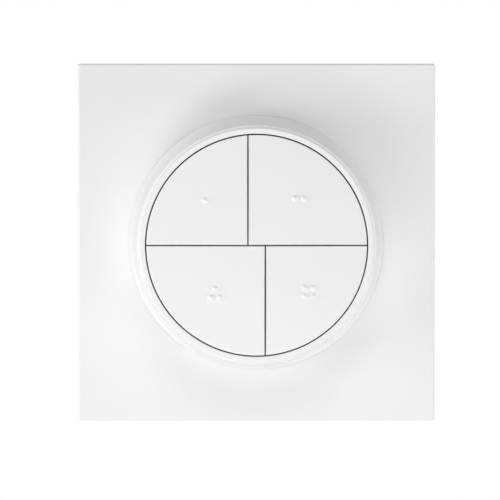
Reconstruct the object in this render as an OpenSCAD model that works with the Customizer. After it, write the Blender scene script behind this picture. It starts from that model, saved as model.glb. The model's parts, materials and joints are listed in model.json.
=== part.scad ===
// A wall switch for smart lights: a square wall plate that carries a round puck with four push
// buttons and a turning dial. Magnets hold the puck, which lifts straight off the plate.
// It is drawn as it hangs on a wall: +Z is up, the wall is the plane Y = 0, the front faces -Y,
// and the origin is the centre of the back face.

/* [Wall plate] */
// Side of the square plate
plate_w = 80; // [76:1:110]
// Rounding of the plate's corners and front edges
plate_round = 0.6; // [0.3:0.1:1.2]
// Thickness of the plate's front wall
plate_skin = 1.8; // [1.4:0.1:2.2]
// Thickness of the plate's side walls
skirt_wall = 1.8; // [1.4:0.1:3]
// How deep the puck sits in the plate
seat_depth = 1.6; // [1:0.1:2.5]
// Wall round the puck's seat, behind the front wall
seat_wall = 1.4; // [1:0.1:2.4]
// Floor under the keeper disc
seat_floor = 1.2; // [0.8:0.1:2]
// Thickness of the steel keeper disc
keeper_t = 0.8; // [0.5:0.1:1.5]
// Ledge between the keeper disc and the foot ring's track
keeper_ledge = 0.6; // [0.3:0.1:2]

/* [Mounting bracket] */
// Thickness of the bracket
bracket_t = 1.6; // [1.4:0.1:2.5]
// Height of the ring on the bracket that carries the seat
support_h = 0.8; // [0.4:0.1:2]
// Width of that ring
support_w = 4; // [2:0.5:8]
// Wall left between each screw slot and the bracket's edge
slot_margin = 4; // [2:0.5:6]
// Width of each screw slot
slot_w = 4.2; // [3.4:0.1:5.4]
// Length of each screw slot
slot_l = 8; // [6:0.5:10]
// Length of each adhesive pad
pad_l = 50; // [30:1:60]
// Width of each adhesive pad
pad_w = 12; // [8:0.5:16]
// Thickness of each adhesive pad
pad_t = 0.8; // [0.4:0.1:1.1]
// Margin between a pad and the bracket's edge
pad_margin = 4; // [2:0.5:8]
// Width of each snap tongue
tongue_w = 9; // [6:0.5:14]
// Thickness of each snap tongue
tongue_t = 1.2; // [0.8:0.1:1.8]
// How far a tongue's hook stands out
tongue_hook = 0.5; // [0.4:0.05:0.8]
// Height of a tongue's hook
tongue_hook_h = 0.8; // [0.5:0.1:1.2]
// Distance of each tongue from the middle of its side
tongue_x = 22; // [10:1:28]

/* [Dial] */
// Width of the trim ring's flat front
land_w = 1.3; // [1.25:0.05:2.5]
// Rounding of the trim ring's outer front edge
rim_round = 0.35; // [0.2:0.05:0.7]
// Height of the trim ring, from the parting line to the front
trim_h = 0.8; // [0.7:0.1:4]
// Width of the sleeve's ledge round the trim ring
ledge_w = 0.55; // [0.3:0.05:1]
// Depth of the bevel round the ledge's outer edge
ledge_bevel = 0.15; // [0.05:0.05:0.25]
// Wall of the trim ring's spigot, which plugs into the sleeve
spigot_t = 0.95; // [0.7:0.05:1.2]
// How much larger the dial's radius is at the wall than at its ledge
dial_flare = 2.1; // [1.9:0.1:4]
// Wall of the dial sleeve
dial_wall = 1.2; // [0.9:0.1:1.3]
// Thickness of the web between the sleeve and its hub
web_t = 1.5; // [1:0.1:2.5]
// Wall of the hub that turns on the glide ring
hub_t = 1.2; // [0.8:0.1:1.3]
// Gap between the dial and the plate
plate_gap = 0.15; // [0.15:0.05:1]
// Wall of the glide ring
glide_t = 0.8; // [0.6:0.05:0.9]
// Wall of the magnetised pole ring
pole_t = 0.9; // [0.6:0.05:1]
// Height of the pole ring
pole_h = 3; // [2:0.1:4]

/* [Puck housing] */
// Thickness of the puck's floor
base_floor = 2.4; // [2.2:0.1:3]
// Thickness of the flange that sits in the plate
base_flange_t = 1.8; // [1.4:0.1:2.2]
// Wall of the housing tube
tube_t = 1.2; // [0.8:0.1:1.5]
// How far the bearing flange stands out past the tube
flange_w = 2.4; // [2.3:0.1:3]
// Width of the rubber foot ring
foot_w = 2.2; // [1.4:0.1:2.6]
// Thickness of the foot ring
foot_t = 0.8; // [0.4:0.1:1]
// Margin between the foot ring and the flange's edge
foot_margin = 1; // [0.6:0.1:1.5]
// Radius of each holding magnet
magnet_r = 2.5; // [2:0.1:3.6]
// Thickness of each holding magnet
magnet_t = 2; // [1.5:0.1:3]
// Floor under each magnet
magnet_skin = 0.6; // [0.4:0.1:1]
// Radius of the bosses that the housing screws run in
boss_r = 2.4; // [2:0.1:3]
// Radius of each housing screw
screw_r = 1; // [0.8:0.05:1.2]
// Radius of each screw's head
screw_head_r = 1.9; // [1.6:0.1:2.1]
// Height of each screw's head
screw_head_h = 1.3; // [0.9:0.1:1.5]
// How deep each head's seat lies in the floor
screw_sink = 1.6; // [1.5:0.1:2]
// Radius of the driver's recess in each head
drive_r = 0.8; // [0.5:0.1:1.2]
// Depth of the driver's recess
drive_depth = 0.6; // [0.3:0.1:0.8]
// How far each screw bites into the key frame
screw_bite = 2.6; // [1.5:0.1:3]

/* [Battery] */
// Diameter of the coin cell
cell_d = 20; // [16:0.5:21]
// Thickness of the coin cell
cell_t = 3.2; // [2.5:0.1:5]
// Height of the cell's raised negative face
cell_step = 0.5; // [0.2:0.1:0.8]
// Width of the can's rim round the negative face
cell_lip = 1; // [0.5:0.1:2]
// Space for the contacts between the cell and the board
contact_h = 1.8; // [1.4:0.1:3]
// Thickness of the contacts' sheet metal
contact_t = 0.3; // [0.2:0.05:0.4]
// Width of each contact
contact_w = 4; // [3:0.5:6]
// Reach of the negative contact to each side of the middle
contact_reach = 6; // [5:0.5:7]
// Half the length of the negative contact's slope
contact_slope = 3; // [2:0.5:4.5]
// Thickness of the battery door
door_t = 1.2; // [1:0.1:1.4]
// Wall of the door's cup, which holds the cell
cup_t = 0.9; // [0.7:0.1:1.2]
// How far the door's lugs stand out
lug_reach = 1.1; // [0.7:0.1:1.3]
// Thickness of the door's lugs
lug_t = 1; // [0.7:0.1:1.2]
// Arc that each lug covers, in degrees
lug_arc = 30; // [16:1:36]
// Turn that unlocks the door, in degrees
door_turn = 45; // [40:1:60]
// Play of a lug in its notch and against its stop, in degrees
lug_play = 2; // [1:0.5:3]
// Arc of the stop beside each lug, in degrees
stop_arc = 6; // [4:1:10]
// Rim of the door outside its lugs
door_rim = 0.6; // [0.4:0.1:1]
// Length of the coin slot in the door
coin_l = 12; // [8:0.5:18]
// Width of the coin slot
coin_w = 2; // [1.5:0.1:3]
// Depth of the coin slot
coin_depth = 0.7; // [0.4:0.1:0.8]

/* [Circuit board] */
// Thickness of the board
board_t = 1.2; // [0.8:0.1:1.6]
// Side of each switch
switch_w = 6; // [4.5:0.1:6.5]
// Height of each switch's body
switch_h = 2.6; // [2.2:0.1:4]
// Radius of each switch's stem
stem_r = 1.6; // [1:0.1:1.8]
// How far each stem stands out of its switch
stem_h = 0.9; // [0.8:0.05:1.2]
// How deep each stem reaches into its switch
stem_sink = 0.9; // [0.5:0.1:1]
// Width of the radio module
radio_w = 12; // [9:0.5:12]
// Height of the radio module's face, up the wall
radio_l = 9; // [7:0.5:10]
// Thickness of the radio module
radio_t = 2.2; // [1.5:0.1:2.6]
// Margin of the radio's own board round its shield
radio_edge = 0.6; // [0.3:0.1:1]
// Thickness of the radio's own board
radio_board_t = 0.8; // [0.5:0.1:1]
// Size of the small chips
chip_w = 2.6; // [1.6:0.1:3]
// Height of the small chips
chip_h = 0.9; // [0.5:0.1:1.5]
// Space between the radio module and the small chips
chip_room = 3.2; // [2:0.1:4]
// Space between the two lower chips
chip_gap = 0.8; // [0.4:0.1:2]
// Length of each dial sensor
sensor_l = 2.9; // [2:0.1:3.2]
// Width of each dial sensor
sensor_w = 1.5; // [1:0.1:1.8]
// Height of each dial sensor
sensor_h = 1.1; // [0.7:0.1:1.3]
// Space between each dial sensor and the top screw's boss, which stands between them
sensor_room = 0.8; // [0.5:0.1:1.5]

/* [Buttons] */
// Radius of the round face that the four buttons share
button_r = 24.15; // [23.4:0.05:28]
// Gap between the buttons
button_gap = 0.25; // [0.2:0.05:0.5]
// Gap between the buttons and the dial that turns round them
dial_gap = 0.3; // [0.2:0.05:0.5]
// Distance of each upright gap from the middle
split_offset = 1.9; // [0:0.1:4]
// How far the middle of the face stands above its rim
crown = 1.1; // [0.4:0.1:2]
// Height of the buttons at the rim
cap_h = 4.8; // [4.4:0.1:6]
// Front wall of a button
cap_wall = 1.4; // [1:0.1:2]
// Side wall of a button
cap_skirt = 1; // [0.7:0.1:1.5]
// Travel of a button
travel = 0.6; // [0.3:0.05:0.8]
// Room left under a button that is fully pressed
press_room = 0.4; // [0.2:0.1:1]
// Radius of the post that presses the switch
post_r = 2; // [1.4:0.1:2.4]
// Width of a button's snap legs
leg_w = 3; // [2:0.1:4]
// Thickness of a button's snap legs
leg_t = 1.2; // [0.8:0.1:1.5]
// Angle between the level gap and a button's first leg, in degrees
leg_low = 20; // [16:1:26]
// Angle between the level gap and a button's second leg, in degrees
leg_high = 68; // [62:1:72]
// How far a leg's hook stands out
leg_hook = 0.4; // [0.3:0.05:0.6]
// Height of a leg's hook
leg_hook_h = 0.8; // [0.5:0.1:1]
// Diameter of a raised dot
dot_d = 1.3; // [0.6:0.1:1.6]
// Height of a raised dot
dot_h = 0.42; // [0.1:0.02:0.5]
// Distance between neighbouring dots
dot_pitch = 1.9; // [1.7:0.1:2.6]
// Distance of key 1 from the left end of the face
key_1_x = 12.8; // [12:0.05:14.5]
// Distance of key 1 from the top of the face
key_1_y = 14.25; // [13.5:0.05:15.5]
// Distance of key 2 from the right end of the face
key_2_x = 14.85; // [13.5:0.05:15.2]
// Distance of key 2 from the top of the face
key_2_y = 13.85; // [13.5:0.05:15.5]
// Distance of key 3 from the left end of the face
key_3_x = 15; // [13.5:0.05:15.2]
// Distance of key 3 from the bottom of the face
key_3_y = 13.75; // [13.5:0.05:15.5]
// Distance of key 4 from the right end of the face
key_4_x = 12.75; // [12:0.05:14.5]
// Distance of key 4 from the bottom of the face
key_4_y = 13.95; // [13.5:0.05:15.5]

/* [Key frame] */
// Thickness of the key frame
frame_t = 1.5; // [1.2:0.1:2.5]
// Thickness of the bearing flange round the frame
frame_flange_t = 1; // [0.7:0.1:1.2]
// Space between the switches and the frame
switch_room = 0.5; // [0.3:0.1:0.8]

/* [Clearances] */
// Clearance of glued and pressed pieces
seat_clear = 0.05; // [0.02:0.01:0.1]
// Running clearance between the dial's hub and the glide ring
run_clear = 0.06; // [0.03:0.01:0.1]
// Gap between pieces that move past each other
move_gap = 0.25; // [0.2:0.05:0.35]
// End play of the battery door and its cell
end_play = 0.15; // [0.1:0.05:0.25]
// Play of the dial along its axis
dial_play = 0.1; // [0.05:0.05:0.15]
// Gap between the puck and the wall of its seat
well_gap = 0.3; // [0.2:0.05:0.5]
// Play of the bracket inside the plate
bracket_play = 0.2; // [0.1:0.05:0.3]
// Gap between a button's post and the stem of its switch
touch_gap = 0.05; // [0.03:0.01:0.1]

/* [Hidden] */
$fn = 96;
// The crowned face is so flat that its circle needs more sides
FACE_SIDES = 720;
// Cuts run past the faces that they open by this much
cut = 1;

// Levels, measured out from the wall
seat_back_z = bracket_t + support_h;
seat_floor_z = seat_back_z + seat_floor;
seat_z = seat_floor_z + keeper_t;
plate_t = seat_z + seat_depth;
skin_z = plate_t - plate_skin;
base_flange_z = seat_z + base_flange_t;
base_floor_z = seat_z + base_floor;
door_z = seat_z + end_play;
door_top_z = door_z + door_t;
lip_z = door_top_z + end_play;
lug_z = base_floor_z + end_play;
lug_top_z = lug_z + lug_t;
cell_z = door_top_z + end_play;
cell_top_z = cell_z + cell_t;
board_z = cell_top_z + contact_h;
board_top_z = board_z + board_t;
switch_top_z = board_top_z + switch_h;
frame_z = switch_top_z + switch_room;
frame_flange_z = frame_z + frame_flange_t;
frame_top_z = frame_z + frame_t;
cap_z = frame_top_z + travel + press_room;
rim_z = cap_z + cap_h;
dial_z = plate_t + plate_gap;
seam_z = rim_z - trim_h;
spigot_z = frame_flange_z + dial_play;
hub_top_z = frame_z - dial_play;
web_z = hub_top_z - web_t;
hub_z = base_flange_z + move_gap;
stem_z = switch_top_z - stem_sink;
stem_top_z = switch_top_z + stem_h;

// Radii, worked out from the round face of the buttons
trim_in_r = button_r + dial_gap;
rim_r = trim_in_r + land_w;
ledge_r = rim_r + ledge_w;
spigot_r = trim_in_r + spigot_t;
sleeve_in_r = spigot_r + seat_clear;
flange_r = sleeve_in_r - move_gap;
tube_r = flange_r - flange_w;
tube_in_r = tube_r - tube_t;
glide_in_r = tube_r + seat_clear;
glide_r = glide_in_r + glide_t;
hub_in_r = glide_r + run_clear;
hub_r = hub_in_r + hub_t;
pole_in_r = hub_r + seat_clear;
pole_r = pole_in_r + pole_t;
board_r = tube_in_r - move_gap;
seat_r = flange_r + well_gap;
foot_r = flange_r - foot_margin;
foot_in_r = foot_r - foot_w;
keeper_r = foot_in_r - keeper_ledge;
dome_r = (button_r * button_r + crown * crown) / (2 * crown);

// Battery door
cell_r = cell_d / 2;
cup_in_r = cell_r + move_gap;
cup_r = cup_in_r + cup_t;
lug_r = cup_r + lug_reach;
door_r = lug_r + door_rim;
lip_r = cup_r + move_gap;
notch_r = lug_r + move_gap;
door_hole_r = door_r + move_gap;
lug_count = 3;
notch_arc = lug_arc + 2 * lug_play;

// Ring of magnets and screws in the puck's floor
ring_count = 4;
floor_ring_r = (door_hole_r + tube_in_r) / 2;
screw_hole_r = screw_r + move_gap / 2;

// Bracket
hollow_half = plate_w / 2 - skirt_wall;
bracket_half = hollow_half - bracket_play;
screw_spacing = 2 * (bracket_half - slot_margin) - slot_l;
pad_y = bracket_half - pad_margin - pad_w / 2;
tongue_top_z = skin_z - bracket_play;
hook_z = tongue_top_z - tongue_hook_h;
groove_w = tongue_w + 2 * bracket_play;

// Keys, numbered from the upper left
KEYS = [1, 2, 3, 4];
key_at = [
    [key_1_x - button_r, button_r - key_1_y],
    [button_r - key_2_x, button_r - key_2_y],
    [key_3_x - button_r, key_3_y - button_r],
    [button_r - key_4_x, key_4_y - button_r]
];
key_side = [[-1, 1], [1, 1], [-1, -1], [1, -1]];
// Keys 1 and 4 end short of the middle, keys 2 and 3 reach past it
key_edge = [split_offset, -split_offset, -split_offset, split_offset];
dot_places = [
    [[0, 0]],
    [[-0.5, 0], [0.5, 0]],
    [[0, 0.5], [-0.5, -0.5], [0.5, -0.5]],
    [[-0.5, 0.5], [0.5, 0.5], [-0.5, -0.5], [0.5, -0.5]]
];
leg_r = tube_in_r - move_gap - leg_hook - leg_t / 2;
hook_top_z = frame_z - touch_gap;
// The frame's holes pass the posts, and the stems below them
post_hole_r = max(post_r, stem_r) + seat_clear;

// Small parts on the board
chip_y = (radio_l + chip_w) / 2 + chip_room;
chip_x = (chip_w + chip_gap) / 2;
chip_at = [[0, chip_y], [-chip_x, -chip_y], [chip_x, -chip_y]];
sensor_r = board_r - sensor_w;
sensor_turn = asin((boss_r + sensor_room + sensor_l / 2) / sensor_r);

// Radius of the dial's outer wall at a level
function wall_r(z) = ledge_r + dial_flare * (seam_z - z) / (seam_z - dial_z);

// Pieces are drawn lying on their back, x right, y up the wall and z out of it
module facing_out() {
    rotate([90, 0, 0]) children();
}

module disc(r, z0, z1) {
    translate([0, 0, z0]) cylinder(r = r, h = z1 - z0);
}

module ring(r_in, r_out, z0, z1) {
    difference() {
        disc(r_out, z0, z1);
        disc(r_in, z0 - cut, z1 + cut);
    }
}

// A box centred on x and y
module block(size_x, size_y, z0, z1) {
    translate([-size_x / 2, -size_y / 2, z0]) cube([size_x, size_y, z1 - z0]);
}

// A part of a ring, centred on the x axis
module ring_part(r_in, r_out, z0, z1, arc) {
    rotate([0, 0, -arc / 2])
        rotate_extrude(angle = arc)
            translate([r_in, z0]) square([r_out - r_in, z1 - z0]);
}

module around(count, first = 0) {
    for (i = [0:count - 1]) {
        rotate([0, 0, first + i * 360 / count]) children();
    }
}

// The screws stand at the sides, top and bottom, and the magnets between them
module at_screws() {
    around(ring_count) translate([floor_ring_r, 0, 0]) children();
}

module at_magnets() {
    around(ring_count, 180 / ring_count) translate([floor_ring_r, 0, 0]) children();
}

// A square slab whose corners and front edges are rounded
module rounded_slab(w, t, r) {
    inner = w - 2 * r;
    block(inner, w, 0, t - r);
    block(w, inner, 0, t - r);
    block(inner, inner, 0, t);
    around(4) {
        translate([inner / 2, inner / 2, 0]) cylinder(r = r, h = t - r);
        translate([inner / 2, inner / 2, t - r]) sphere(r = r);
        translate([inner / 2, inner / 2, t - r]) rotate([90, 0, 0]) cylinder(r = r, h = inner);
    }
}

// Snap tongues stand in pairs along the top and bottom of the plate
module at_tongues() {
    for (turn = [0, 180], x = [-tongue_x, tongue_x]) {
        rotate([0, 0, turn]) translate([x, bracket_half, 0]) children();
    }
}

module wall_plate() {
    color("white") facing_out() difference() {
        union() {
            difference() {
                rounded_slab(plate_w, plate_t, plate_round);
                block(2 * hollow_half, 2 * hollow_half, -cut, skin_z);
            }
            disc(seat_r + seat_wall, seat_back_z, plate_t);
        }
        disc(seat_r, seat_z, plate_t + cut);
        disc(keeper_r + seat_clear, seat_floor_z, plate_t + cut);
        at_tongues()
            block(
                groove_w,
                2 * (tongue_hook + bracket_play),
                hook_z - bracket_play,
                tongue_top_z + bracket_play
            );
    }
}

module mounting_bracket() {
    color("gainsboro") facing_out() difference() {
        union() {
            block(2 * bracket_half, 2 * bracket_half, 0, bracket_t);
            ring(seat_r - support_w, seat_r, bracket_t / 2, seat_back_z);
            at_tongues() {
                translate([0, -tongue_t / 2, 0]) block(tongue_w, tongue_t, 0, tongue_top_z);
                block(tongue_w, 2 * tongue_hook, hook_z, tongue_top_z);
            }
        }
        for (side = [-1, 1]) {
            translate([side * screw_spacing / 2, 0, 0]) screw_slot();
            translate([0, side * pad_y, 0]) block(pad_l, pad_w, -cut, pad_t);
        }
    }
}

module screw_slot() {
    run = slot_l - slot_w;
    block(run, slot_w, -cut, seat_back_z + cut);
    for (x = [-run / 2, run / 2]) {
        translate([x, 0, -cut]) cylinder(r = slot_w / 2, h = seat_back_z + 2 * cut);
    }
}

module adhesive_pads() {
    color("whitesmoke") facing_out() {
        for (side = [-1, 1]) {
            translate([0, side * pad_y, 0])
                block(pad_l - 2 * seat_clear, pad_w - 2 * seat_clear, 0, pad_t);
        }
    }
}

module keeper_disc() {
    color("silver") facing_out() disc(keeper_r, seat_floor_z, seat_z);
}

module puck_base() {
    color("white") facing_out() difference() {
        union() {
            disc(flange_r, seat_z, base_flange_z);
            disc(tube_r, seat_z, base_floor_z);
            ring(tube_in_r, tube_r, seat_z, frame_z);
            at_screws() disc(boss_r, seat_z, board_z);
            // Stops that the door's lugs rest against when it is locked
            around(lug_count, -(lug_arc + stop_arc) / 2 - lug_play)
                ring_part(cup_r, notch_r, (lip_z + base_floor_z) / 2, lug_top_z, stop_arc);
        }
        ring(foot_in_r, foot_r, seat_z - cut, seat_z + foot_t);
        disc(door_hole_r, seat_z - cut, lip_z);
        disc(lip_r, seat_z - cut, lug_top_z + cut);
        around(lug_count, door_turn)
            ring_part(cup_r, notch_r, lip_z - cut, base_floor_z + cut, notch_arc);
        at_magnets() disc(magnet_r + seat_clear, seat_z + magnet_skin, base_floor_z + cut);
        at_screws() disc(screw_head_r + move_gap, seat_z - cut, seat_z + screw_sink);
        at_screws() disc(screw_hole_r, seat_z - cut, board_z + cut);
    }
}

module foot_ring() {
    color("dimgray") facing_out()
        ring(foot_in_r + seat_clear, foot_r - seat_clear, seat_z, seat_z + foot_t);
}

module holding_magnets() {
    color("lightsteelblue") facing_out() at_magnets()
        disc(magnet_r, seat_z + magnet_skin, seat_z + magnet_skin + magnet_t);
}

module housing_screws() {
    seat = seat_z + screw_sink;
    color("silver") facing_out() at_screws() difference() {
        union() {
            disc(screw_head_r, seat - screw_head_h, seat);
            disc(screw_r, seat, board_top_z + screw_bite);
        }
        // Six-sided recess for the driver
        translate([0, 0, seat - screw_head_h - cut])
            cylinder(r = drive_r, h = drive_depth + cut, $fn = 6);
    }
}

module battery_door() {
    color("white") facing_out() difference() {
        union() {
            disc(door_r, door_z, door_top_z);
            ring(cup_in_r, cup_r, door_z, lug_top_z);
            around(lug_count) ring_part(cup_in_r + cup_t / 2, lug_r, lug_z, lug_top_z, lug_arc);
        }
        block(coin_l, coin_w, door_z - cut, door_z + coin_depth);
    }
}

module coin_cell() {
    color("silver") facing_out() {
        disc(cell_r, cell_z, cell_top_z - cell_step);
        disc(cell_r - cell_lip, cell_z, cell_top_z);
    }
}

// A tab that stands on the board, between two screws, and touches the side of the cell
module positive_contact() {
    color("gold") facing_out() rotate([0, 0, 180 / ring_count]) translate([cell_r + touch_gap, 0, 0]) {
        translate([contact_t / 2, 0, 0]) block(contact_t, contact_w, lug_top_z + end_play, board_z);
        translate([contact_w / 2, 0, 0]) block(contact_w, contact_w, board_z - contact_t, board_z);
    }
}

// A bent leaf between the board and the middle of the cell
module negative_contact() {
    low = cell_top_z + touch_gap;
    color("gold") facing_out() translate([0, contact_w / 2, 0]) rotate([90, 0, 0]) linear_extrude(contact_w)
        polygon([
            [-contact_reach, board_z],
            [-contact_reach, board_z - contact_t],
            [-contact_slope, board_z - contact_t],
            [contact_slope, low],
            [contact_reach, low],
            [contact_reach, low + contact_t],
            [contact_slope, low + contact_t],
            [-contact_slope, board_z]
        ]);
}

module circuit_board() {
    color("seagreen") facing_out() difference() {
        disc(board_r, board_z, board_top_z);
        at_screws() disc(screw_hole_r, board_z - cut, board_top_z + cut);
    }
}

module radio_module() {
    color("darkgray") facing_out() {
        block(radio_w, radio_l, board_top_z, board_top_z + radio_board_t);
        block(radio_w - 2 * radio_edge, radio_l - 2 * radio_edge, board_top_z, board_top_z + radio_t);
    }
}

module board_chips() {
    color("black") facing_out() for (p = chip_at) {
        translate(p) block(chip_w, chip_w, board_top_z, board_top_z + chip_h);
    }
}

module dial_sensors() {
    color("black") facing_out() for (side = [-1, 1]) {
        rotate([0, 0, 90 + side * sensor_turn]) translate([sensor_r, 0, 0])
            block(sensor_w, sensor_l, board_top_z, board_top_z + sensor_h);
    }
}

module switch_body(i) {
    color("dimgray") facing_out() translate(key_at[i - 1]) difference() {
        block(switch_w, switch_w, board_top_z, switch_top_z);
        disc(stem_r + seat_clear, stem_z - travel - touch_gap, switch_top_z + cut);
    }
}

module switch_stem(i) {
    color("black") facing_out() translate(key_at[i - 1]) disc(stem_r, stem_z, stem_top_z);
}

// A button's snap legs, each with the x axis pointing out to the rim
module at_legs(i) {
    side = key_side[i - 1];
    for (a = [leg_low, leg_high]) {
        rotate([0, 0, atan2(side.y * sin(a), side.x * cos(a))]) translate([leg_r, 0, 0]) children();
    }
}

module key_frame() {
    color("black") facing_out() difference() {
        union() {
            disc(flange_r, frame_z, frame_flange_z);
            disc(trim_in_r - move_gap, frame_z, frame_top_z);
            at_screws() disc(boss_r, board_top_z, frame_top_z);
        }
        at_screws() disc(screw_r + seat_clear, board_top_z - cut, board_top_z + screw_bite + move_gap);
        for (i = KEYS) {
            translate(key_at[i - 1]) disc(post_hole_r, frame_z - cut, frame_top_z + cut);
            at_legs(i)
                block(leg_t + 2 * move_gap, leg_w + 2 * move_gap, frame_z - cut, frame_top_z + cut);
        }
    }
}

module glide_ring() {
    color("ivory") facing_out() ring(glide_in_r, glide_r, base_flange_z, frame_z - seat_clear);
}

module dial_sleeve() {
    color("white") facing_out() rotate_extrude() polygon([
        [wall_r(dial_z), dial_z],
        [wall_r(seam_z - ledge_bevel), seam_z - ledge_bevel],
        [ledge_r - ledge_bevel, seam_z],
        [sleeve_in_r, seam_z],
        [sleeve_in_r, hub_top_z],
        [hub_in_r, hub_top_z],
        [hub_in_r, hub_z],
        [hub_r, hub_z],
        [hub_r, web_z],
        [wall_r(web_z) - dial_wall, web_z],
        [wall_r(dial_z) - dial_wall, dial_z]
    ]);
}

module trim_ring() {
    color("white") facing_out() rotate_extrude() difference() {
        polygon([
            [trim_in_r, rim_z],
            [rim_r, rim_z],
            [rim_r, seam_z],
            [spigot_r, seam_z],
            [spigot_r, spigot_z],
            [trim_in_r, spigot_z]
        ]);
        rim_corner();
    }
}

// What the rounding takes off the trim ring's front corner
module rim_corner() {
    translate([rim_r - rim_round, rim_z - rim_round]) difference() {
        square(rim_round + cut);
        circle(r = rim_round);
    }
}

module pole_ring() {
    color("dimgray") facing_out() ring(pole_in_r, pole_r, web_z - pole_h, web_z);
}

// The plan of one button, drawn in by inset
module button_plan(i, inset) {
    side = key_side[i - 1];
    size = 2 * button_r;
    near_x = key_edge[i - 1] + button_gap / 2 + inset;
    near_y = button_gap / 2 + inset;
    intersection() {
        circle(r = button_r - inset);
        translate([side.x * (near_x + size / 2), side.y * (near_y + size / 2)])
            square(size, center = true);
    }
}

// Everything below the crowned face, or below a surface that lies deeper by depth
module under_face(depth) {
    middle_z = rim_z + crown - dome_r;
    rotate_extrude() intersection() {
        translate([0, middle_z]) circle(r = dome_r - depth, $fn = FACE_SIDES);
        square([button_r, rim_z + crown]);
    }
}

// A dot is the cap of a ball that stands out of the crowned face
module dots(i) {
    ball_r = (dot_d * dot_d / 4 + dot_h * dot_h) / (2 * dot_h);
    for (place = dot_places[i - 1]) {
        p = key_at[i - 1] + dot_pitch * place;
        face_z = rim_z + crown - dome_r + sqrt(dome_r * dome_r - p * p);
        intersection() {
            translate([p.x, p.y, face_z + dot_h - ball_r]) sphere(r = ball_r);
            translate([p.x, p.y, 0]) disc(dot_d, face_z - cap_wall / 2, face_z + dot_h + cut);
        }
    }
}

module button(i) {
    color("white") facing_out() {
        intersection() {
            difference() {
                translate([0, 0, cap_z]) linear_extrude(cap_h + crown) button_plan(i, 0);
                intersection() {
                    translate([0, 0, cap_z - cut]) linear_extrude(cap_h + crown) button_plan(i, cap_skirt);
                    under_face(cap_wall);
                }
            }
            under_face(0);
        }
        intersection() {
            union() {
                translate(key_at[i - 1]) disc(post_r, stem_top_z + touch_gap, rim_z + crown);
                at_legs(i) {
                    block(leg_t, leg_w, hook_top_z - leg_hook_h, rim_z + crown);
                    translate([leg_hook / 2, 0, 0])
                        block(leg_t + leg_hook, leg_w, hook_top_z - leg_hook_h, hook_top_z);
                }
            }
            under_face(cap_wall / 2);
        }
        dots(i);
    }
}

wall_plate();
mounting_bracket();
keeper_disc();
adhesive_pads();
puck_base();
foot_ring();
holding_magnets();
housing_screws();
battery_door();
coin_cell();
positive_contact();
negative_contact();
circuit_board();
radio_module();
board_chips();
dial_sensors();
switch_body(1);  // switch_1
switch_body(2);  // switch_2
switch_body(3);  // switch_3
switch_body(4);  // switch_4
switch_stem(1);  // switch_stem_1
switch_stem(2);  // switch_stem_2
switch_stem(3);  // switch_stem_3
switch_stem(4);  // switch_stem_4
key_frame();
glide_ring();
dial_sleeve();
trim_ring();
pole_ring();
button(1);  // button_1
button(2);  // button_2
button(3);  // button_3
button(4);  // button_4
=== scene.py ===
"""Looks of a dial wall switch: a square plate, and a round puck with four buttons and a dial."""

import json
import math

import bmesh
import bpy
from mathutils import Matrix, Vector


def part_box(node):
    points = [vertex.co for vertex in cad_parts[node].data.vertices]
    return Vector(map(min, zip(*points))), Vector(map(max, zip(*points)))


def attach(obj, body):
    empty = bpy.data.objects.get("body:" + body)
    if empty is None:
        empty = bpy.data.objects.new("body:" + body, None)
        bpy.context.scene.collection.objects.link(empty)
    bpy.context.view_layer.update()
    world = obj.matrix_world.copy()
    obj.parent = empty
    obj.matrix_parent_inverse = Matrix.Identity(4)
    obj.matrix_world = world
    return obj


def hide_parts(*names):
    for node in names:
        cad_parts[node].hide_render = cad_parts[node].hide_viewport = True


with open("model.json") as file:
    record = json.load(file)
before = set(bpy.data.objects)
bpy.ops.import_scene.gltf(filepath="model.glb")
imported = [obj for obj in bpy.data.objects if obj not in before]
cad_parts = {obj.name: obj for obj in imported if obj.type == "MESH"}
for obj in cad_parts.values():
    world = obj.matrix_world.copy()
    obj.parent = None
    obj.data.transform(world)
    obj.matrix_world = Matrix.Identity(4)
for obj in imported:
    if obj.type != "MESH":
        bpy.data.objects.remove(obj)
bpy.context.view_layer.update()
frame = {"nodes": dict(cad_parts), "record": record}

bl_info = {
    "name": "Dial wall switch",
    "version": (1, 0, 0),
    "blender": (4, 5, 0),
    "location": "3D View > Sidebar > Switch",
    "description": "Builds the visible pieces, finishes and studio of a dial wall switch",
    "category": "Object",
}

MM = 0.001
# Steps round a ring, a rounded corner and a small hole, and up the side of a dot
RING_STEPS = 192
CORNER_STEPS = 32
HOLE_STEPS = 48
DOT_STEPS = 8
# Steps across the rounding of a fine edge, a common one, the plate's and the dial's rim
FINE_STEPS = 2
EDGE_STEPS = 3
PLATE_STEPS = 5
RIM_STEPS = 6
# Turn of one step of a ring
RING_TURN = math.tau / RING_STEPS
EIGHTH_TURN = math.tau / 8
# Faces that meet at a sharper angle than this show an edge
CRISP_ANGLE = math.radians(40)
# Points closer than this are one point
MERGE = 1e-7
# How closely a point has to lie on a ring or a line to belong to it
NEAR = 2e-6
# Left and right, or below and above
SIDES = (-1, 1)
# Screws of the housing, with as many magnets between them, and the sides of their recess
SCREWS = 4
DRIVE_SIDES = 6
# Lugs of the door, and half the turn that one takes up
LUGS = 3
LUG_HALF = 8 * RING_TURN
# Turn from a shut lug to the notch that lets it in, and half the turn of a notch
NOTCH_AT = EIGHTH_TURN
NOTCH_HALF = 9 * RING_TURN
# Turn from a shut lug to the stop behind it, and half the turn of a stop
STOP_AT = -10.5 * RING_TURN
STOP_HALF = 1.5 * RING_TURN
BUTTONS = (1, 2, 3, 4)
# Which way each button lies from the middle, right and up
BUTTON_SIDES = {1: (-1, 1), 2: (1, 1), 3: (-1, -1), 4: (1, -1)}
# Buttons 1 and 4 end short of the middle, buttons 2 and 3 reach past it
BUTTON_REACH = {1: 1, 2: -1, 3: -1, 4: 1}
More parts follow.
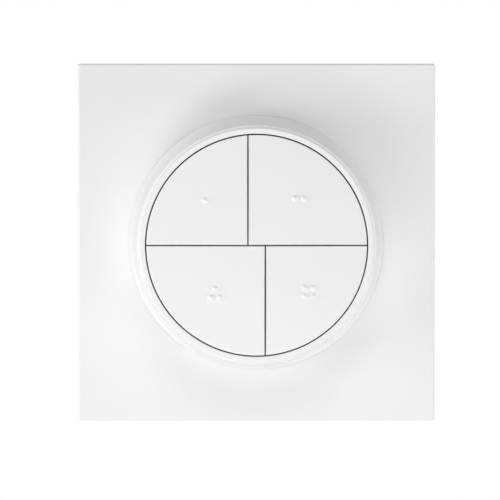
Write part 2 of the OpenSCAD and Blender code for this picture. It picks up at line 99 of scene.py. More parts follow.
# Places of the dots on each button, in steps of the dots' pitch
DOT_PLACES = {
    1: ((0, 0),),
    2: ((-0.5, 0), (0.5, 0)),
    3: ((0, 0.5), (-0.5, -0.5), (0.5, -0.5)),
    4: ((-0.5, 0.5), (0.5, 0.5), (-0.5, -0.5), (0.5, -0.5)),
}


def levels(node):
    """How far the back and the front of a CAD node stand out from the wall."""
    low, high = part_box(node)
    return -high.y, -low.y


def reach(node):
    """How far a CAD node reaches to the right of the middle."""
    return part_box(node)[1].x


TONES = {m["slot"]: tuple(m["base_color"]) for m in frame["record"]["materials"]}
SLOT_OF = {p["node"]: p["material_slot"] for p in frame["record"]["subparts"]}
BODY_OF = {n: body for body, names in frame["record"]["behaviour"]["bodies"].items() for n in names}
PLATE_FRONT = levels("wall_plate")[1]
SEAT_FLOOR, SEAT_LEVEL = levels("keeper_disc")
DIAL_BACK, SEAM_LEVEL = levels("dial_sleeve")
SPIGOT_BACK, RIM_LEVEL = levels("trim_ring")
DOOR_BACK, LUG_TOP = levels("battery_door")
SCREW_BACK, SCREW_TIP = levels("housing_screws")
FOOT_BACK, FOOT_FRONT = levels("foot_ring")
HOUSING_FRONT = levels("puck_base")[1]
TONGUE_TOP = levels("mounting_bracket")[1]
TAPE_FRONT = levels("adhesive_pads")[1]
STEM_TOP = levels("switch_stem_1")[1]
# Pieces inside the puck that keep their CAD shape
INNER_PARTS = (
    "holding_magnets",
    "coin_cell",
    "positive_contact",
    "negative_contact",
    "circuit_board",
    "radio_module",
    "board_chips",
    "dial_sensors",
    *(f"switch_{i}" for i in BUTTONS),
    *(f"switch_stem_{i}" for i in BUTTONS),
    "key_frame",
    "glide_ring",
    "pole_ring",
)


def length(name, description, default):
    """A size in metres that a user would change."""
    return bpy.props.FloatProperty(
        name=name, description=description, default=default, unit="LENGTH", precision=5
    )


def power(name, description, watts):
    """A lamp's power in watts."""
    return bpy.props.FloatProperty(
        name=name, description=description, default=watts, min=0, unit="POWER"
    )


def angle(name, description, degrees):
    """An angle, given in degrees."""
    return bpy.props.FloatProperty(
        name=name, description=description, default=math.radians(degrees), subtype="ANGLE"
    )


def colour(name, description, default):
    """A colour of red, green and blue."""
    return bpy.props.FloatVectorProperty(
        name=name, description=description, default=default, size=3, subtype="COLOR", min=0, max=1
    )


class SwitchSizes(bpy.types.PropertyGroup):
    """Sizes of the pieces that show."""

    plate_round: length("Plate rounding", "Rounding of the plate's edges", 0.6 * MM)
    plate_wall: length("Plate wall", "Thickness of the plate's side walls", 1.8 * MM)
    plate_skin: length("Plate skin", "Thickness of the plate's front wall", 1.8 * MM)
    seat_radius: length("Seat radius", "Radius of the puck's seat in the plate", 25.5 * MM)
    seat_wall: length("Seat wall", "Wall round the seat, behind the plate", 1.4 * MM)
    seat_back: length("Seat back", "Level of the back of the seat", 2.4 * MM)
    fit_gap: length("Fit gap", "Clearance of glued and pressed pieces", 0.05 * MM)
    soft_edge: length("Soft edge", "Rounding of a moulded edge", 0.15 * MM)
    sharp_edge: length("Sharp edge", "Rounding of the dial's edge next to the plate", 0.02 * MM)
    rim_radius: length("Rim radius", "Outer radius of the dial at the front", 25.75 * MM)
    rim_round: length("Rim rounding", "Rounding of the dial's outer front edge", 0.35 * MM)
    bore_radius: length("Bore radius", "Inner radius of the dial's rim", 24.45 * MM)
    ledge_width: length("Ledge width", "Width of the sleeve's ledge round the rim", 0.55 * MM)
    spigot_radius: length("Spigot radius", "Radius of the rim's spigot in the sleeve", 25.4 * MM)
    dial_wall: length("Dial wall", "Wall of the sleeve", 1.2 * MM)
    hub_in: length("Hub bore", "Inner radius of the sleeve's hub", 23.71 * MM)
    hub_out: length("Hub radius", "Outer radius of the sleeve's hub", 24.91 * MM)
    hub_back: length("Hub back", "Level of the hub's back end", 6.45 * MM)
    web_back: length("Web back", "Level of the back of the sleeve's web", 13.6 * MM)
    web_front: length("Web front", "Level of the front of the sleeve's web", 15.1 * MM)
    button_radius: length("Button radius", "Radius of the face of the four buttons", 24.15 * MM)
    button_gap: length("Button gap", "Gap between the buttons", 0.25 * MM)
    button_split: length("Split", "Distance of the upright gaps from the middle", 1.9 * MM)
    button_edge: length("Button edge", "Rounding of the buttons' front edges", 0.12 * MM)
    face_crown: length("Face crown", "Height of the face's middle above its rim", 1.1 * MM)
    face_grid: length("Face grid", "Spacing of the points on the crowned face", 2.0 * MM)
    button_back: length("Button back", "Level of the back of the buttons' skirts", 17.7 * MM)
    button_wall: length("Button wall", "Front wall of a button", 1.4 * MM)
    button_skirt: length("Button skirt", "Side wall of a button", 1.0 * MM)
    dot_size: length("Dot size", "Diameter of a raised dot", 1.3 * MM)
    dot_height: length("Dot height", "Height of a raised dot", 0.42 * MM)
    dot_pitch: length("Dot pitch", "Distance between neighbouring dots", 1.9 * MM)
    post_radius: length("Post radius", "Radius of the post that presses a switch", 2.0 * MM)
    post_gap: length("Post gap", "Gap between a post and its switch", 0.05 * MM)
    leg_place: length("Leg place", "Distance of a button's legs from the middle", 20.35 * MM)
    leg_low: angle("First leg", "Angle of a button's first leg from the level gap", 20)
    leg_high: angle("Second leg", "Angle of a button's second leg from the level gap", 68)
    leg_wall: length("Leg wall", "Thickness of a button's legs", 1.2 * MM)
    leg_width: length("Leg width", "Width of a button's legs", 3.0 * MM)
    leg_hook: length("Leg hook", "How far a leg's hook stands out", 0.4 * MM)
    leg_back: length("Leg back", "Level of the back of a button's legs", 14.35 * MM)
    leg_catch: length("Leg catch", "Level of the front of a leg's hook", 15.15 * MM)
    bracket_sheet: length("Bracket sheet", "Thickness of the bracket", 1.6 * MM)
    support_width: length("Support width", "Width of the ring that carries the seat", 4.0 * MM)
    slot_place: length("Slot place", "Distance of the screw slots from the middle", 30.0 * MM)
    slot_length: length("Slot length", "Length of a screw slot", 8.0 * MM)
    slot_width: length("Slot width", "Width of a screw slot", 4.2 * MM)
    tape_round: length("Tape rounding", "Rounding of the strips' corners", 0.6 * MM)
    tape_place: length("Tape place", "Distance of the strips from the middle", 28.0 * MM)
    tongue_place: length("Tongue place", "Distance of a tongue from the middle", 22.0 * MM)
    tongue_width: length("Tongue width", "Width of a snap tongue", 9.0 * MM)
    tongue_wall: length("Tongue wall", "Thickness of a snap tongue", 1.2 * MM)
    tongue_catch: length("Tongue catch", "Level of the back of a tongue's hook", 3.2 * MM)
    tongue_hook: length("Tongue hook", "How far a tongue's hook stands out", 0.5 * MM)
    tongue_play: length("Tongue play", "Play of a tongue in the plate", 0.2 * MM)
    groove_inner: length("Groove bore", "Inner radius of the foot ring's groove", 22.0 * MM)
    flange_front: length("Flange front", "Level of the front of the housing's flange", 6.2 * MM)
    tube_radius: length("Tube radius", "Outer radius of the housing's tube", 22.8 * MM)
    tube_bore: length("Tube bore", "Inner radius of the housing's tube", 21.6 * MM)
    floor_front: length("Floor front", "Level of the front of the housing's floor", 6.8 * MM)
    lip_back: length("Lip back", "Level of the lip that the door's lugs turn behind", 5.9 * MM)
    lip_radius: length("Lip radius", "Inner radius of that lip", 11.4 * MM)
    notch_radius: length("Notch radius", "Radius of the notches that let the lugs in", 12.5 * MM)
    door_hole: length("Door hole", "Radius of the hole that the door lies in", 13.1 * MM)
    screw_ring: length("Screw ring", "Distance of screws and magnets from the middle", 17.35 * MM)
    boss_radius: length("Boss radius", "Radius of the screws' bosses", 2.4 * MM)
    boss_front: length("Boss front", "Level of the front of the bosses", 10.9 * MM)
    sink_radius: length("Sink radius", "Radius of the holes that the screw heads lie in", 2.15 * MM)
    sink_front: length("Sink front", "Level that the screw heads sit on", 6.0 * MM)
    screw_hole: length("Screw hole", "Radius of the screw holes", 1.125 * MM)
    screw_head: length("Screw head", "Radius of a screw's head", 1.9 * MM)
    screw_shank: length("Screw shank", "Radius of a screw's shank", 1.0 * MM)
    drive_radius: length("Drive radius", "Radius of the six-sided recess", 0.8 * MM)
    drive_depth: length("Drive depth", "Depth of the six-sided recess", 0.6 * MM)
    magnet_pocket: length("Magnet pocket", "Radius of a magnet's pocket", 2.55 * MM)
    magnet_back: length("Magnet back", "Level of the floor of a magnet's pocket", 5.0 * MM)
    door_sheet: length("Door sheet", "Thickness of the battery door", 1.2 * MM)
    coin_length: length("Coin length", "Length of the coin slot", 12.0 * MM)
    coin_width: length("Coin width", "Width of the coin slot", 2.0 * MM)
    coin_depth: length("Coin depth", "Depth of the coin slot", 0.7 * MM)
    coin_round: length("Coin rounding", "Rounding of the coin slot's corners", 0.6 * MM)
    cup_bore: length("Cup bore", "Inner radius of the door's cup", 10.25 * MM)
    cup_radius: length("Cup radius", "Outer radius of the door's cup", 11.15 * MM)
    lug_radius: length("Lug radius", "Radius of the door's lugs", 12.25 * MM)
    lug_back: length("Lug back", "Level of the back of the lugs", 6.95 * MM)


class SwitchColours(bpy.types.PropertyGroup):
    """Colours of the finishes, from the part's record."""

    white_plastic: colour("Plate white", "Plastic of the wall plate", TONES["white_plastic"])
    dial_plastic: colour("Dial white", "Plastic of the dial", TONES["dial_plastic"])
    button_plastic: colour("Button white", "Plastic of the buttons", TONES["button_plastic"])
    base_plastic: colour("Housing white", "Plastic of the puck's back", TONES["base_plastic"])
    bracket_plastic: colour("Bracket grey", "Plastic of the bracket", TONES["bracket_plastic"])
    foam_tape: colour("Foam", "Foam of the adhesive strips", TONES["foam_tape"])
    foot_rubber: colour("Rubber", "Rubber of the foot ring", TONES["foot_rubber"])
    keeper_steel: colour("Keeper steel", "Zinc on the keeper disc", TONES["keeper_steel"])
    magnet_nickel: colour("Nickel", "Nickel on the magnets", TONES["magnet_nickel"])
    screw_steel: colour("Screw steel", "Zinc on the screws", TONES["screw_steel"])
    cell_steel: colour("Cell steel", "Can of the coin cell", TONES["cell_steel"])
    contact_brass: colour("Contact brass", "Sheet of the contacts", TONES["contact_brass"])
    board_green: colour("Solder mask", "Mask of the circuit board", TONES["board_green"])
    shield_steel: colour("Shield", "Tin of the radio's shield", TONES["shield_steel"])
    chip_black: colour("Chip black", "Moulding of the chips", TONES["chip_black"])
    switch_plastic: colour("Switch grey", "Plastic of the switches", TONES["switch_plastic"])
    # The key frame's black is painted shade: it stands in for the shade deep in the gaps between
    # the buttons, so that the gaps show as dark lines
    frame_black: colour("Frame black", "Plastic of the key frame", TONES["frame_black"])
    glide_acetal: colour("Acetal", "Plastic of the glide ring", TONES["glide_acetal"])
    pole_ferrite: colour("Ferrite", "Bonded magnet of the pole ring", TONES["pole_ferrite"])


class SwitchStage(bpy.types.PropertyGroup):
    """Camera and light of the studio."""

    camera_place: bpy.props.FloatVectorProperty(
        name="Camera place",
        description="Where the camera stands",
        default=(-4.34 * MM, -741.3 * MM, 28.4 * MM),
        size=3,
        subtype="TRANSLATION",
    )
    camera_pitch: angle("Camera pitch", "How far the camera looks down", 2.342)
    camera_yaw: angle("Camera yaw", "How far the camera turns to the right", 0.230)
    camera_lens: bpy.props.FloatProperty(
        name="Lens", description="Focal length in millimetres", default=236.67, unit="CAMERA"
    )
    camera_clip: length("Camera clip", "Nearest distance that the camera sees", 0.01)
    room_light: bpy.props.FloatProperty(
        name="Room light", description="Strength of the light from all sides", default=0.305, min=0
    )
    floor_level: length("Floor level", "Height of the floor", -0.6)
    floor_radius: length("Floor radius", "Radius of the floor", 3.0)
    floor_tone: colour("Floor", "Colour of the floor", (0.82, 0.82, 0.82))
    fade_start: length("Fade start", "Where the floor starts to fade into white", 0.1)
    fade_end: length("Fade end", "Where the floor has faded into white", 0.9)
    lamp_size: length("Lamp size", "Side of each soft lamp", 0.35)
    lamp_away: length("Lamp distance", "Distance of each lamp from the switch", 0.8)
    left_lamp: power("Left lamp", "Lamp far to the left", 2.8)
    right_lamp: power("Right lamp", "Lamp far to the right and below", 2.3)
    key_lamp: power("Key lamp", "Lamp to the lower left in front", 1.4)
    front_lamp: power("Front lamp", "Lamp below the camera", 0.98)
    top_lamp: power("Top lamp", "Lamp above in front", 1.4)


# Meshes are drawn lying on their back: x right, y up the wall, z out of the wall


def only(kind, geometry):
    """The points, edges or faces of a mixed lot."""
    return [g for g in geometry if isinstance(g, kind)]


def at_level(part, level):
    """Whether a face or an edge lies flat at a level."""
    return all(abs(v.co.z - level) < NEAR for v in part.verts)


def ring_edges(bm, radius, level):
    """Edges of the circle at that radius and level."""

    def on_ring(v):
        return abs(math.hypot(v.co.x, v.co.y) - radius) < NEAR

    return [e for e in bm.edges if at_level(e, level) and all(on_ring(v) for v in e.verts)]


def soften(bm, edges, width, steps=EDGE_STEPS):
    """Rounds edges."""
    bmesh.ops.bevel(
        bm,
        geom=edges,
        offset=width,
        offset_type="OFFSET",
        segments=steps,
        profile=0.5,
        affect="EDGES",
        material=-1,
        clamp_overlap=True,
    )


def turn(bm, outline):
    """Spins a closed outline of radius and level pairs all the way about the middle."""
    corners = [bm.verts.new((radius, 0, level)) for radius, level in outline]
    sides = [bm.edges.new(pair) for pair in zip(corners, corners[1:] + corners[:1])]
    bmesh.ops.spin(
        bm,
        geom=corners + sides,
        cent=(0, 0, 0),
        axis=(0, 0, 1),
        dvec=(0, 0, 0),
        angle=math.tau,
        steps=RING_STEPS,
        use_merge=True,
    )
    bmesh.ops.remove_doubles(bm, verts=bm.verts, dist=MERGE)


def edges_of(bm, points):
    """Edges that run between these points."""
    ring = set(points)
    return [e for e in bm.edges if ring.issuperset(e.verts)]


def circle(bm, radius, level, steps=RING_STEPS, at=(0, 0)):
    """A bare circle of edges."""
    made = bmesh.ops.create_circle(
        bm, segments=steps, radius=radius, matrix=Matrix.Translation((*at, level))
    )
    return edges_of(bm, made["verts"])


def rounded_outline(bm, width, height, corner, level, at=(0, 0)):
    """A bare rectangle of edges with round corners: a circle whose quarters are moved apart."""
    turned = Matrix.Translation((0, 0, level)) @ Matrix.Rotation(math.pi / CORNER_STEPS, 4, "Z")
    made = bmesh.ops.create_circle(bm, segments=CORNER_STEPS, radius=corner, matrix=turned)
    right, up = width / 2 - corner, height / 2 - corner
    for v in made["verts"]:
        apart = Vector((math.copysign(right, v.co.x), math.copysign(up, v.co.y), 0))
        bmesh.ops.translate(bm, vec=apart + Vector((*at, 0)), verts=[v])
    return edges_of(bm, made["verts"])


def rectangle(bm, width, height, level, at, turned):
    """A bare rectangle of edges, turned in its plane."""
    place = Matrix.Translation((*at, level)) @ Matrix.Rotation(turned, 4, "Z")
    shape = Matrix.Diagonal((width, height, 1, 1)) @ Matrix.Rotation(EIGHTH_TURN, 4, "Z")
    made = bmesh.ops.create_circle(bm, segments=4, radius=math.sqrt(0.5), matrix=place @ shape)
    return edges_of(bm, made["verts"])


def square(bm, half, level):
    """A bare square of edges, with as many points as a circle."""
    turned = Matrix.Translation((0, 0, level)) @ Matrix.Rotation(EIGHTH_TURN, 4, "Z")
    made = bmesh.ops.create_circle(bm, segments=4, radius=half * math.sqrt(2), matrix=turned)
    sides = edges_of(bm, made["verts"])
    split = bmesh.ops.subdivide_edges(bm, edges=sides, cuts=RING_STEPS // 4 - 1)
    return only(bmesh.types.BMEdge, split["geom"])


def step(bm, loop, grow=1.0, rise=0.0, at=(0, 0)):
    """Carries a loop of edges on to a new one, drawn in or out by grow and moved out by rise."""
    made = bmesh.ops.extrude_edge_only(bm, edges=loop)["geom"]
    points = only(bmesh.types.BMVert, made)
    middle = Matrix.Translation((-at[0], -at[1], 0))
    bmesh.ops.scale(bm, vec=(grow, grow, 1), space=middle, verts=points)
    bmesh.ops.translate(bm, vec=(0, 0, rise), verts=points)
    return edges_of(bm, points)


def walk(bm, loop, path, at=(0, 0)):
    """Carries a loop along a path of radius and level pairs that starts at the loop itself."""
    for (radius, level), (new_radius, new_level) in zip(path, path[1:]):
        loop = step(bm, loop, new_radius / radius, new_level - level, at)
    return loop


def close(bm, loop):
    """Closes a loop with one face."""
    bmesh.ops.contextual_create(bm, geom=loop)


def fill(bm, *loops):
    """Fills the flat between an outer loop and the loops inside it."""
    bmesh.ops.triangle_fill(bm, use_beauty=True, edges=[e for loop in loops for e in loop])


def cap(bm, loop, path, at=(0, 0)):
    """Carries a loop along a path and closes its end."""
    close(bm, walk(bm, loop, path, at))


def push(bm, faces, move=(0, 0, 0), grow=1.0):
    """Draws faces out of a mesh, moved and grown from the middle, and gives the new faces."""
    made = bmesh.ops.extrude_face_region(bm, geom=faces)["geom"]
    covered = [f for f in faces if f.is_valid]
    if covered:
        bmesh.ops.delete(bm, geom=covered, context="FACES")
    points = only(bmesh.types.BMVert, made)
    bmesh.ops.scale(bm, vec=(grow, grow, 1), verts=points)
    bmesh.ops.translate(bm, vec=move, verts=points)
    return only(bmesh.types.BMFace, made)


def flat_faces(bm, level):
    """Faces that lie flat at a level."""
    return [f for f in bm.faces if at_level(f, level)]


def open_flat(bm, level):
    """Takes away the flat faces at a level and gives the edges round them."""
    bmesh.ops.delete(bm, geom=flat_faces(bm, level), context="FACES")
    return [e for e in bm.edges if e.is_boundary and at_level(e, level)]


def slices(bm, faces, axis, places):
    """Cuts faces along planes across an axis; no faces mean the whole mesh."""
    across = Vector([i == axis for i in range(3)])
    for place in places:
        cut = faces(bm) if faces else bm.faces[:]
        parts = {g for f in cut for g in (*f.verts, *f.edges)}
        bmesh.ops.bisect_plane(
            bm, geom=[*parts, *cut], dist=MERGE, plane_co=across * place, plane_no=across
        )


def span_ends(place, half):
    """Ends of two spans of that half width, one to each side of the middle."""
    return [side * place + end for side in SIDES for end in (-half, half)]


def even_turns(count, first=0.0):
    """Turns spread evenly about the middle."""
    return [first + math.tau * i / count for i in range(count)]


def around(count, radius, first=0.0):
    """Places spread evenly round the middle."""
    return [(radius * math.cos(a), radius * math.sin(a)) for a in even_turns(count, first)]


def ring_place(f):
    """Distance of a face from the middle, and its level."""
    place = f.calc_center_median()
    return math.hypot(place.x, place.y), place.z


def near_turn(f, turns, half):
    """Whether a face lies within half of one of these turns about the middle."""
    place = f.calc_center_median()
    at = math.atan2(place.y, place.x)
    return any(abs((at - t + math.pi) % math.tau - math.pi) < half for t in turns)


def add(name, data):
    """Puts a mesh, a lamp or a camera into the scene."""
    made = bpy.data.objects.new(name, data)
    bpy.context.scene.collection.objects.link(made)
    return made


def as_mesh(name, bm):
    """Ends the drawing of a mesh."""
    mesh = bpy.data.meshes.new(name)
    bm.to_mesh(mesh)
    bm.free()
    return mesh


def piece(name, bm, node):
    """Stands a finished mesh against the wall as a piece that takes the place of a CAD node."""
    bmesh.ops.remove_doubles(bm, verts=bm.verts, dist=MERGE)
    bmesh.ops.recalc_face_normals(bm, faces=bm.faces)
    upright = Matrix.Rotation(math.pi / 2, 3, "X")
    bmesh.ops.rotate(bm, cent=(0, 0, 0), matrix=upright, verts=bm.verts)
    mesh = as_mesh(name, bm)
    mesh.shade_smooth()
    mesh.set_sharp_from_angle(angle=CRISP_ANGLE)
    made = add(name, mesh)
    even = made.modifiers.new("Even shading", "WEIGHTED_NORMAL")
    even.keep_sharp = True
    slot = SLOT_OF[node]
    mesh.materials.append(finish(slot))
    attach(made, BODY_OF[node])
    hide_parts(node)


class Wire:
    """A shader socket whose values add and multiply as Python numbers do."""

    def __init__(self, tree, socket=None):
        self.tree = tree
        self.socket = socket

    def node(self, kind, settings, sockets, out=0):
        """Adds a node: its settings first, then the values or wires of its sockets."""
        made = self.tree.nodes.new(kind)
        for key, value in settings.items():
            setattr(made, key, value)
        for key, value in sockets.items():
            if isinstance(value, Wire):
                self.tree.links.new(value.socket, made.inputs[key])
            else:
                made.inputs[key].default_value = value
        return Wire(self.tree, made.outputs[out] if made.outputs else None)

    def mix(self, share, first, second):
        """Blends two colours, given as numbers or wires."""
        ends = [c if isinstance(c, Wire) else (*c, 1) for c in (first, second)]
        # The node has sockets of the same name for numbers, so those for colours go by place
        sockets = {0: share, 6: ends[0], 7: ends[1]}
        return self.node("ShaderNodeMix", {"data_type": "RGBA"}, sockets, 2)

    def math(self, operation, first, second):
        """Works on two values, given as numbers or wires."""
        return self.node("ShaderNodeMath", {"operation": operation}, {0: first, 1: second})

    def __add__(self, other):
        return self.math("ADD", self, other)

    def __radd__(self, other):
        return self.math("ADD", other, self)

    def __mul__(self, other):
        return self.math("MULTIPLY", self, other)

    def __rmul__(self, other):
        return self.math("MULTIPLY", other, self)


def shades(tone, spread):
    """A darker and a lighter shade of a colour."""
    return [tuple(min(1, c * f) for c in tone) for f in (1 - spread, 1 + spread)]


def noise(wire, place, scale, detail=2.0):
    """Cloudy values about one half."""
    sockets = {"Vector": place, "Scale": scale, "Detail": detail, "Roughness": 0.55}
    return wire.node("ShaderNodeTexNoise", {}, sockets, "Fac")


def stretch(wire, place, by):
    """A place with each of its axes drawn out or flattened."""
    return wire.node("ShaderNodeVectorMath", {"operation": "MULTIPLY"}, {0: place, 1: by})


def relief(wire, height, depth, strength=0.35):
    """A normal from a height that varies by depth."""
    sockets = {"Strength": strength, "Distance": depth, "Height": height}
    return wire.node("ShaderNodeBump", {}, sockets, "Normal")


def blank(name):
    """Starts a material and gives its tree, and the wire of the place on the piece."""
    material = bpy.data.materials.new(name)
    material.use_nodes = True
    material.node_tree.nodes.clear()
    wire = Wire(material.node_tree)
    return wire, wire.node("ShaderNodeTexCoord", {}, {}, "Object")


def surface(wire, sockets):
    """Puts the surface together from its sockets."""
    made = wire.node("ShaderNodeBsdfPrincipled", {}, sockets)
    wire.node("ShaderNodeOutputMaterial", {}, {"Surface": made})


# How often each pattern comes in a metre
FLOW_PATCHES = 60
PLATING_PATCHES = 180
SKIN_GRAINS = 6000
DUST_PATCHES = 300
FOAM_CELLS = 2600
GLUE_PATCHES = 220
TRACK_ROWS = 160
MASK_PATCHES = 400


def moulded(name, tone, roughness, grain=0.25 * MM, depth=0.004 * MM, spread=0.012):
    """Moulded plastic: a fine eroded grain, faint flow shading and slightly uneven gloss."""
    wire, place = blank(name)
    flow = noise(wire, place, FLOW_PATCHES, 3)
    fine = noise(wire, place, 1 / grain)
    surface(
        wire,
        {
            "Base Color": wire.mix(flow * 0.7 + fine * 0.3, *shades(tone, spread)),
            "Roughness": roughness - 0.06 + 0.08 * flow + 0.04 * fine,
            "IOR": 1.5,
            "Normal": relief(wire, fine, depth),
        },
    )


def plated(name, tone, roughness, lay=(1, 1, 1), grain=0.12 * MM):
    """Plated or rolled metal: fine lines drawn out along one way, and cloudy plating."""
    wire, place = blank(name)
    lines = noise(wire, stretch(wire, place, lay), 1 / grain, 3)
    cloud = noise(wire, place, PLATING_PATCHES, 3)
    surface(
        wire,
        {
            "Base Color": wire.mix(lines * 0.4 + cloud * 0.6, *shades(tone, 0.1)),
            "Metallic": 1.0,
            "Roughness": roughness - 0.1 + 0.12 * lines + 0.08 * cloud,
            "Normal": relief(wire, lines, 0.003 * MM),
        },
    )


def rubber(name, tone):
    """Matt rubber with a fine skin and a trace of dust."""
    wire, place = blank(name)
    skin = noise(wire, place, SKIN_GRAINS, 3)
    dust = noise(wire, place, DUST_PATCHES, 4)
    surface(
        wire,
        {
            "Base Color": wire.mix(dust * 0.6 + skin * 0.4, *shades(tone, 0.14)),
            "Roughness": 0.72 + 0.12 * dust,
            "IOR": 1.45,
            "Normal": relief(wire, skin, 0.01 * MM),
        },
    )


def foam(name, tone):
    """Closed-cell foam under a film of glue."""
    wire, place = blank(name)
    sockets = {"Vector": place, "Scale": FOAM_CELLS}
    cells = wire.node("ShaderNodeTexVoronoi", {}, sockets, "Distance")
    cloud = noise(wire, place, GLUE_PATCHES, 3)
    surface(
        wire,
        {
            "Base Color": wire.mix(cells * 0.5 + cloud * 0.5, *shades(tone, 0.09)),
            "Roughness": 0.5 + 0.25 * cells,
            "IOR": 1.47,
            "Normal": relief(wire, cells, 0.05 * MM, 0.5),
        },
    )


def solder_mask(name, tone):
    """A circuit board: copper tracks that show through a green mask."""
    wire, place = blank(name)
    flat = wire.node("ShaderNodeMapping", {}, {"Vector": place, "Rotation": (math.pi / 2, 0, 0)})
    settings = {"offset": 0.37, "offset_frequency": 3, "squash": 0.6, "squash_frequency": 2}
    sockets = {
        "Vector": flat,
        "Scale": TRACK_ROWS,
        "Mortar Size": 0.06,
        "Mortar Smooth": 0.25,
        "Brick Width": 0.9,
        "Row Height": 0.24,
    }
    tracks = wire.node("ShaderNodeTexBrick", settings, sockets, "Fac")
    cloud = noise(wire, place, MASK_PATCHES, 3)
    mask = wire.mix(cloud, *shades(tone, 0.12))
    surface(
        wire,
        {
            "Base Color": wire.mix(tracks * 0.8, mask, tuple(min(1, 1.9 * c) for c in tone)),
            "Roughness": 0.28 + 0.1 * cloud,
            "IOR": 1.52,
            "Normal": relief(wire, tracks, 0.03 * MM),
        },
    )


ALONG_X = (0.04, 1, 1)
ALONG_Z = (1, 1, 0.04)
FINISHES = {
    "white_plastic": (moulded, {"roughness": 0.5}),
    "dial_plastic": (moulded, {"roughness": 0.42}),
    "button_plastic": (moulded, {"roughness": 0.46}),
    "base_plastic": (moulded, {"roughness": 0.55, "grain": 0.35 * MM, "depth": 0.01 * MM}),
    "bracket_plastic": (moulded, {"roughness": 0.58, "grain": 0.4 * MM, "depth": 0.014 * MM}),
    "foam_tape": (foam, {}),
    "foot_rubber": (rubber, {}),
    "keeper_steel": (plated, {"roughness": 0.36, "lay": ALONG_X}),
    "magnet_nickel": (plated, {"roughness": 0.2, "grain": 0.4 * MM}),
    "screw_steel": (plated, {"roughness": 0.34}),
    "cell_steel": (plated, {"roughness": 0.25, "lay": ALONG_Z}),
    "contact_brass": (plated, {"roughness": 0.3, "lay": ALONG_X}),
    "board_green": (solder_mask, {}),
    "shield_steel": (plated, {"roughness": 0.32, "lay": ALONG_Z}),
    "chip_black": (moulded, {"roughness": 0.5, "grain": 0.15 * MM, "spread": 0.12}),
    "switch_plastic": (moulded, {"roughness": 0.48, "spread": 0.08}),
    # Black key frame: painted shade that darkens the gaps between the buttons in place of the shade
    # that falls there
    "frame_black": (moulded, {"roughness": 0.62, "spread": 0.15}),
    "glide_acetal": (moulded, {"roughness": 0.34, "spread": 0.03}),
    "pole_ferrite": (
        moulded,
        {"roughness": 0.7, "grain": 0.1 * MM, "depth": 0.01 * MM, "spread": 0.2},
    ),
}


def finish(slot):
    """The finish of one of the record's material slots, made at its first use."""
    name = f"{slot}_finish"
    if name not in bpy.data.materials:
        make, settings = FINISHES[slot]
        make(name, tuple(getattr(bpy.context.scene.switch_colours, slot)), **settings)
    return bpy.data.materials[name]


class SWITCH_OT_wall_plate(bpy.types.Operator):
    """Builds the wall plate with its seat for the puck"""

    bl_idname = "dial_switch.wall_plate"
    bl_label = "Wall plate"

    def execute(self, context):
        s = context.scene.switch_sizes
        half = reach("wall_plate")
        inner = half - s.plate_wall
        bm = bmesh.new()
        self.shell(bm, s, half, inner)
        self.grooves(bm, s, inner)

        def on_side(v):
            return abs(max(abs(v.co.x), abs(v.co.y)) - half) < NEAR

        def on_corner(v):
            return abs(abs(v.co.x) - half) < NEAR and abs(abs(v.co.y) - half) < NEAR

        def outer(e):
            front = at_level(e, PLATE_FRONT) and all(on_side(v) for v in e.verts)
            return front or all(on_corner(v) for v in e.verts)

        soften(bm, [e for e in bm.edges if outer(e)], s.plate_round, PLATE_STEPS)
        soften(bm, ring_edges(bm, s.seat_radius, PLATE_FRONT), s.soft_edge)
        piece("plate_cover", bm, "wall_plate")
        return {"FINISHED"}

    def shell(self, bm, s, half, inner):
        """Draws the front with its seat, the side walls and the hollow behind."""
        pocket = reach("keeper_disc") + s.fit_gap
        skin = PLATE_FRONT - s.plate_skin
        outline = square(bm, half, PLATE_FRONT)
        seat = circle(bm, s.seat_radius, PLATE_FRONT)
        bmesh.ops.bridge_loops(bm, edges=outline + seat)
        path = [
            (s.seat_radius, PLATE_FRONT),
            (s.seat_radius, SEAT_LEVEL),
            (pocket, SEAT_LEVEL),
            (pocket, SEAT_FLOOR),
        ]
        cap(bm, seat, path)
        hollow = walk(bm, outline, [(half, PLATE_FRONT), (half, 0), (inner, 0), (inner, skin)])
        seat_out = s.seat_radius + s.seat_wall
        seat_back = circle(bm, seat_out, skin)
        bmesh.ops.bridge_loops(bm, edges=hollow + seat_back)
        cap(bm, seat_back, [(seat_out, skin), (seat_out, s.seat_back)])

    def grooves(self, bm, s, inner):
        """Draws the grooves for the bracket's tongues into the upper and lower walls."""
        half = s.tongue_width / 2 + s.tongue_play
        back = s.tongue_catch - s.tongue_play

        def walls(mesh):
            return [f for f in mesh.faces if all(abs(abs(v.co.y) - inner) < NEAR for v in f.verts)]

        def in_groove(f, side):
            place = f.calc_center_median()
            beside = abs(abs(place.x) - s.tongue_place) < half
            return beside and place.z > back and place.y * side > 0

        slices(bm, walls, 0, span_ends(s.tongue_place, half))
        slices(bm, walls, 2, [back])
        for side in SIDES:
            groove = [f for f in walls(bm) if in_groove(f, side)]
            push(bm, groove, (0, side * s.tongue_hook, 0))


